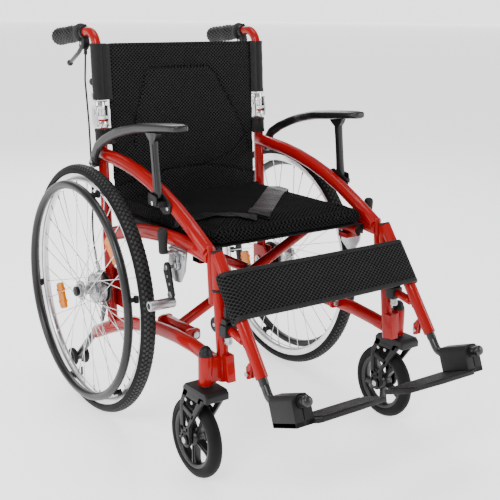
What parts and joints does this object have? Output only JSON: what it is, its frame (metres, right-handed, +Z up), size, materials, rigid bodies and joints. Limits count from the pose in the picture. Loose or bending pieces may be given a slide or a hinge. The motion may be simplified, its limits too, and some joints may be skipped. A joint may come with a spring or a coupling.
{
  "type": "manual wheelchair",
  "caption": "Folding manual wheelchair with large spoked rear wheels and handrims, front casters, cross brace, flip-up armrests, swing-away footrests and a half-folding back",
  "frame": {"origin": "centre of the overall box at floor level", "axes": "+Z up, the chair faces -Y, +X is the user's left"},
  "size_m": [0.673, 1.0903, 0.9323],
  "materials": {
    "paint_red": "glossy",
    "steel_silver": "polished",
    "zinc_silver": "satin",
    "rim_silver": "satin",
    "hub_silver": "satin",
    "metal_black": "satin",
    "plastic_black": "satin",
    "rubber_grip": "matte",
    "tyre_black": "matte",
    "mesh_fabric": "woven",
    "nylon_fabric": "smooth",
    "webbing": "satin",
    "cable_black": "satin"
  },
  "bodies": {
    "side_left": {"side_frame_left": "paint_red", "back_hinge_left": "steel_silver", "drum_brake_left": "metal_black", "brake_cable_left": "cable_black", "armrest_socket_left": "plastic_black", "lock_bracket_left": "zinc_silver", "anti_tip_arm_left": "metal_black"},
    "cane_left": {"back_cane_left": "paint_red", "handgrip_left": "rubber_grip"},
    "back_release_left": {"back_release_lever_left": "plastic_black"},
    "brake_lever_left": {"brake_lever_left": "metal_black"},
    "wheel_left": {"tyre_left": "tyre_black", "rim_left": "rim_silver", "handrim_left": "plastic_black", "hub_spokes_left": "hub_silver"},
    "caster_fork_left": {"caster_fork_left": "metal_black"},
    "caster_wheel_left": {"caster_wheel_left": "plastic_black"},
    "hanger_left": {"footrest_hanger_left": "paint_red"},
    "hanger_latch_left": {"hanger_latch_left": "plastic_black"},
    "leg_left": {"footrest_leg_left": "metal_black"},
    "bush_left": {"footplate_bush_left": "plastic_black"},
    "footplate_left": {"footplate_left": "plastic_black"},
    "armrest_left": {"armrest_left": "plastic_black"},
    "lock_lever_left": {"lock_lever_left": "zinc_silver"},
    "lock_shoe_left": {"lock_shoe_left": "zinc_silver"},
    "anti_tip_wheels_left": {"anti_tip_wheels_left": "plastic_black"},
    "side_right": {"side_frame_right": "paint_red", "back_hinge_right": "steel_silver", "drum_brake_right": "metal_black", "brake_cable_right": "cable_black", "armrest_socket_right": "plastic_black", "lock_bracket_right": "zinc_silver", "anti_tip_arm_right": "metal_black", "back_panel_lower": "mesh_fabric"},
    "cane_right": {"back_cane_right": "paint_red", "handgrip_right": "rubber_grip", "back_panel_upper": "mesh_fabric"},
    "back_release_right": {"back_release_lever_right": "plastic_black"},
    "brake_lever_right": {"brake_lever_right": "metal_black"},
    "wheel_right": {"tyre_right": "tyre_black", "rim_right": "rim_silver", "handrim_right": "plastic_black", "hub_spokes_right": "hub_silver"},
    "caster_fork_right": {"caster_fork_right": "metal_black"},
    "caster_wheel_right": {"caster_wheel_right": "plastic_black"},
    "hanger_right": {"footrest_hanger_right": "paint_red", "calf_strap": "mesh_fabric"},
    "hanger_latch_right": {"hanger_latch_right": "plastic_black"},
    "leg_right": {"footrest_leg_right": "metal_black"},
    "bush_right": {"footplate_bush_right": "plastic_black"},
    "footplate_right": {"footplate_right": "plastic_black"},
    "armrest_right": {"armrest_right": "plastic_black"},
    "lock_lever_right": {"lock_lever_right": "zinc_silver"},
    "lock_shoe_right": {"lock_shoe_right": "zinc_silver"},
    "anti_tip_wheels_right": {"anti_tip_wheels_right": "plastic_black"},
    "cross_a": {"cross_tube_a": "paint_red"},
    "cross_b": {"cross_tube_b": "paint_red"},
    "seat": {"seat_cushion": "mesh_fabric", "seat_sling": "nylon_fabric", "lap_belt": "webbing"}
  },
  "joints": [
    {"name": "fold", "type": "hinge", "parent": "side_right", "child": "cross_a", "pos_m": [-0.203, -0.03, 0.272], "axis": [0, -1, 0], "range_deg": [0, 46.6], "deforming": ["back_panel_upper", "back_panel_lower", "calf_strap"]},
    {"name": "cross_brace", "type": "hinge", "parent": "cross_a", "child": "cross_b", "pos_m": [0, -0.015, 0.371], "axis": [0, -1, 0], "range_deg": [-93.3, 0]},
    {"name": "side_carry", "type": "hinge", "parent": "cross_b", "child": "side_left", "pos_m": [0.203, 0, 0.272], "axis": [0, -1, 0], "range_deg": [0, 46.7]},
    {"name": "seat_fold", "type": "slide", "parent": "side_right", "child": "seat", "axis": [-0.5129, 0, 0.8584], "range_m": [0, 0.2646], "deforming": ["seat_cushion", "seat_sling", "lap_belt"]},
    {"name": "wheel_spin_right", "type": "hinge", "parent": "side_right", "child": "wheel_right", "pos_m": [-0.2935, 0.24, 0.305], "axis": [1, 0, 0], "continuous": true},
    {"name": "caster_swivel_right", "type": "hinge", "parent": "side_right", "child": "caster_fork_right", "pos_m": [-0.272, -0.248, 0.25], "axis": [0, 0, 1], "continuous": true},
    {"name": "caster_spin_right", "type": "hinge", "parent": "caster_fork_right", "child": "caster_wheel_right", "pos_m": [-0.272, -0.211, 0.089], "axis": [1, 0, 0], "continuous": true},
    {"name": "back_fold_right", "type": "hinge", "parent": "side_right", "child": "cane_right", "pos_m": [-0.232, 0.27653, 0.728], "axis": [-1, 0, 0], "range_deg": [0, 90], "deforming": ["brake_cable_right"]},
    {"name": "back_release_right", "type": "hinge", "parent": "cane_right", "child": "back_release_right", "pos_m": [-0.232, 0.3, 0.765], "axis": [-1, 0, 0], "range_deg": [0, 20]},
    {"name": "brake_squeeze_right", "type": "hinge", "parent": "cane_right", "child": "brake_lever_right", "pos_m": [-0.232, 0.354, 0.88573], "axis": [1, 0, 0], "range_deg": [0, 22]},
    {"name": "armrest_flip_right", "type": "hinge", "parent": "side_right", "child": "armrest_right", "pos_m": [-0.252, 0.265, 0.612], "axis": [-0.9848, 0, -0.1736], "range_deg": [0, 80]},
    {"name": "hanger_swing_right", "type": "hinge", "parent": "side_right", "child": "hanger_right", "pos_m": [-0.232, -0.238, 0.393], "axis": [0, -0.1123, -0.9937], "range_deg": [0, 90]},
    {"name": "hanger_latch_right", "type": "hinge", "parent": "hanger_right", "child": "hanger_latch_right", "pos_m": [-0.232, -0.271, 0.358], "axis": [1, 0, 0], "range_deg": [0, 20]},
    {"name": "leg_length_right", "type": "slide", "parent": "hanger_right", "child": "leg_right", "axis": [0, -0.5952, -0.8036], "range_m": [0, 0.05]},
    {"name": "footplate_clear_right", "type": "hinge", "parent": "leg_right", "child": "bush_right", "pos_m": [-0.232, -0.4186, 0.2355], "axis": [0, -0.9338, 0.3579], "range_deg": [0, 107.5]},
    {"name": "footplate_flip_right", "type": "hinge", "parent": "bush_right", "child": "footplate_right", "pos_m": [-0.232, -0.4186, 0.2355], "axis": [0, -0.9338, 0.3579], "range_deg": [0, 90]},
    {"name": "lock_lever_right", "type": "hinge", "parent": "side_right", "child": "lock_lever_right", "pos_m": [-0.253, -0.105, 0.44], "axis": [1, 0, 0], "range_deg": [0, 60]},
    {"name": "lock_shoe_right", "type": "hinge", "parent": "side_right", "child": "lock_shoe_right", "pos_m": [-0.26, -0.078, 0.43], "axis": [1, 0, 0], "range_deg": [0, 20.1]},
    {"name": "anti_tip_spin_right", "type": "hinge", "parent": "side_right", "child": "anti_tip_wheels_right", "pos_m": [-0.232, 0.454, 0.05], "axis": [1, 0, 0], "continuous": true},
    {"name": "wheel_spin_left", "type": "hinge", "parent": "side_left", "child": "wheel_left", "pos_m": [0.2935, 0.24, 0.305], "axis": [1, 0, 0], "continuous": true},
    {"name": "caster_swivel_left", "type": "hinge", "parent": "side_left", "child": "caster_fork_left", "pos_m": [0.272, -0.248, 0.25], "axis": [0, 0, 1], "continuous": true},
    {"name": "caster_spin_left", "type": "hinge", "parent": "caster_fork_left", "child": "caster_wheel_left", "pos_m": [0.272, -0.211, 0.089], "axis": [1, 0, 0], "continuous": true},
    {"name": "back_fold_left", "type": "hinge", "parent": "side_left", "child": "cane_left", "pos_m": [0.232, 0.27653, 0.728], "axis": [-1, 0, 0], "range_deg": [0, 90], "deforming": ["brake_cable_left"]},
    {"name": "back_release_left", "type": "hinge", "parent": "cane_left", "child": "back_release_left", "pos_m": [0.232, 0.3, 0.765], "axis": [-1, 0, 0], "range_deg": [0, 20]},
    {"name": "brake_squeeze_left", "type": "hinge", "parent": "cane_left", "child": "brake_lever_left", "pos_m": [0.232, 0.354, 0.88573], "axis": [1, 0, 0], "range_deg": [0, 22]},
    {"name": "armrest_flip_left", "type": "hinge", "parent": "side_left", "child": "armrest_left", "pos_m": [0.252, 0.265, 0.612], "axis": [-0.9848, 0, 0.1736], "range_deg": [0, 80]},
    {"name": "hanger_swing_left", "type": "hinge", "parent": "side_left", "child": "hanger_left", "pos_m": [0.232, -0.238, 0.393], "axis": [0, 0.1123, 0.9937], "range_deg": [0, 90]},
    {"name": "hanger_latch_left", "type": "hinge", "parent": "hanger_left", "child": "hanger_latch_left", "pos_m": [0.232, -0.271, 0.358], "axis": [1, 0, 0], "range_deg": [0, 20]},
    {"name": "leg_length_left", "type": "slide", "parent": "hanger_left", "child": "leg_left", "axis": [0, -0.5952, -0.8036], "range_m": [0, 0.05]},
    {"name": "footplate_clear_left", "type": "hinge", "parent": "leg_left", "child": "bush_left", "pos_m": [0.232, -0.4186, 0.2355], "axis": [0, 0.9338, -0.3579], "range_deg": [0, 107.5]},
    {"name": "footplate_flip_left", "type": "hinge", "parent": "bush_left", "child": "footplate_left", "pos_m": [0.232, -0.4186, 0.2355], "axis": [0, 0.9338, -0.3579], "range_deg": [0, 90]},
    {"name": "lock_lever_left", "type": "hinge", "parent": "side_left", "child": "lock_lever_left", "pos_m": [0.253, -0.105, 0.44], "axis": [1, 0, 0], "range_deg": [0, 60]},
    {"name": "lock_shoe_left", "type": "hinge", "parent": "side_left", "child": "lock_shoe_left", "pos_m": [0.26, -0.078, 0.43], "axis": [1, 0, 0], "range_deg": [0, 20.1]},
    {"name": "anti_tip_spin_left", "type": "hinge", "parent": "side_left", "child": "anti_tip_wheels_left", "pos_m": [0.232, 0.454, 0.05], "axis": [1, 0, 0], "continuous": true}
  ],
  "couplings": [
    {"joint": "cross_brace", "follows": "fold", "ratio": -2},
    {"joint": "side_carry", "follows": "fold", "ratio": 1},
    {"joint": "seat_fold", "follows": "fold", "m_per_rad": 0.32469},
    {"joint": "footplate_clear_right", "follows": "fold", "ratio": 2.3},
    {"joint": "lock_shoe_right", "follows": "lock_lever_right", "ratio": 0.333},
    {"joint": "footplate_clear_left", "follows": "fold", "ratio": 2.3},
    {"joint": "lock_shoe_left", "follows": "lock_lever_left", "ratio": 0.333},
    {"joint": "back_fold_left", "follows": "back_fold_right", "ratio": 1}
  ]
}
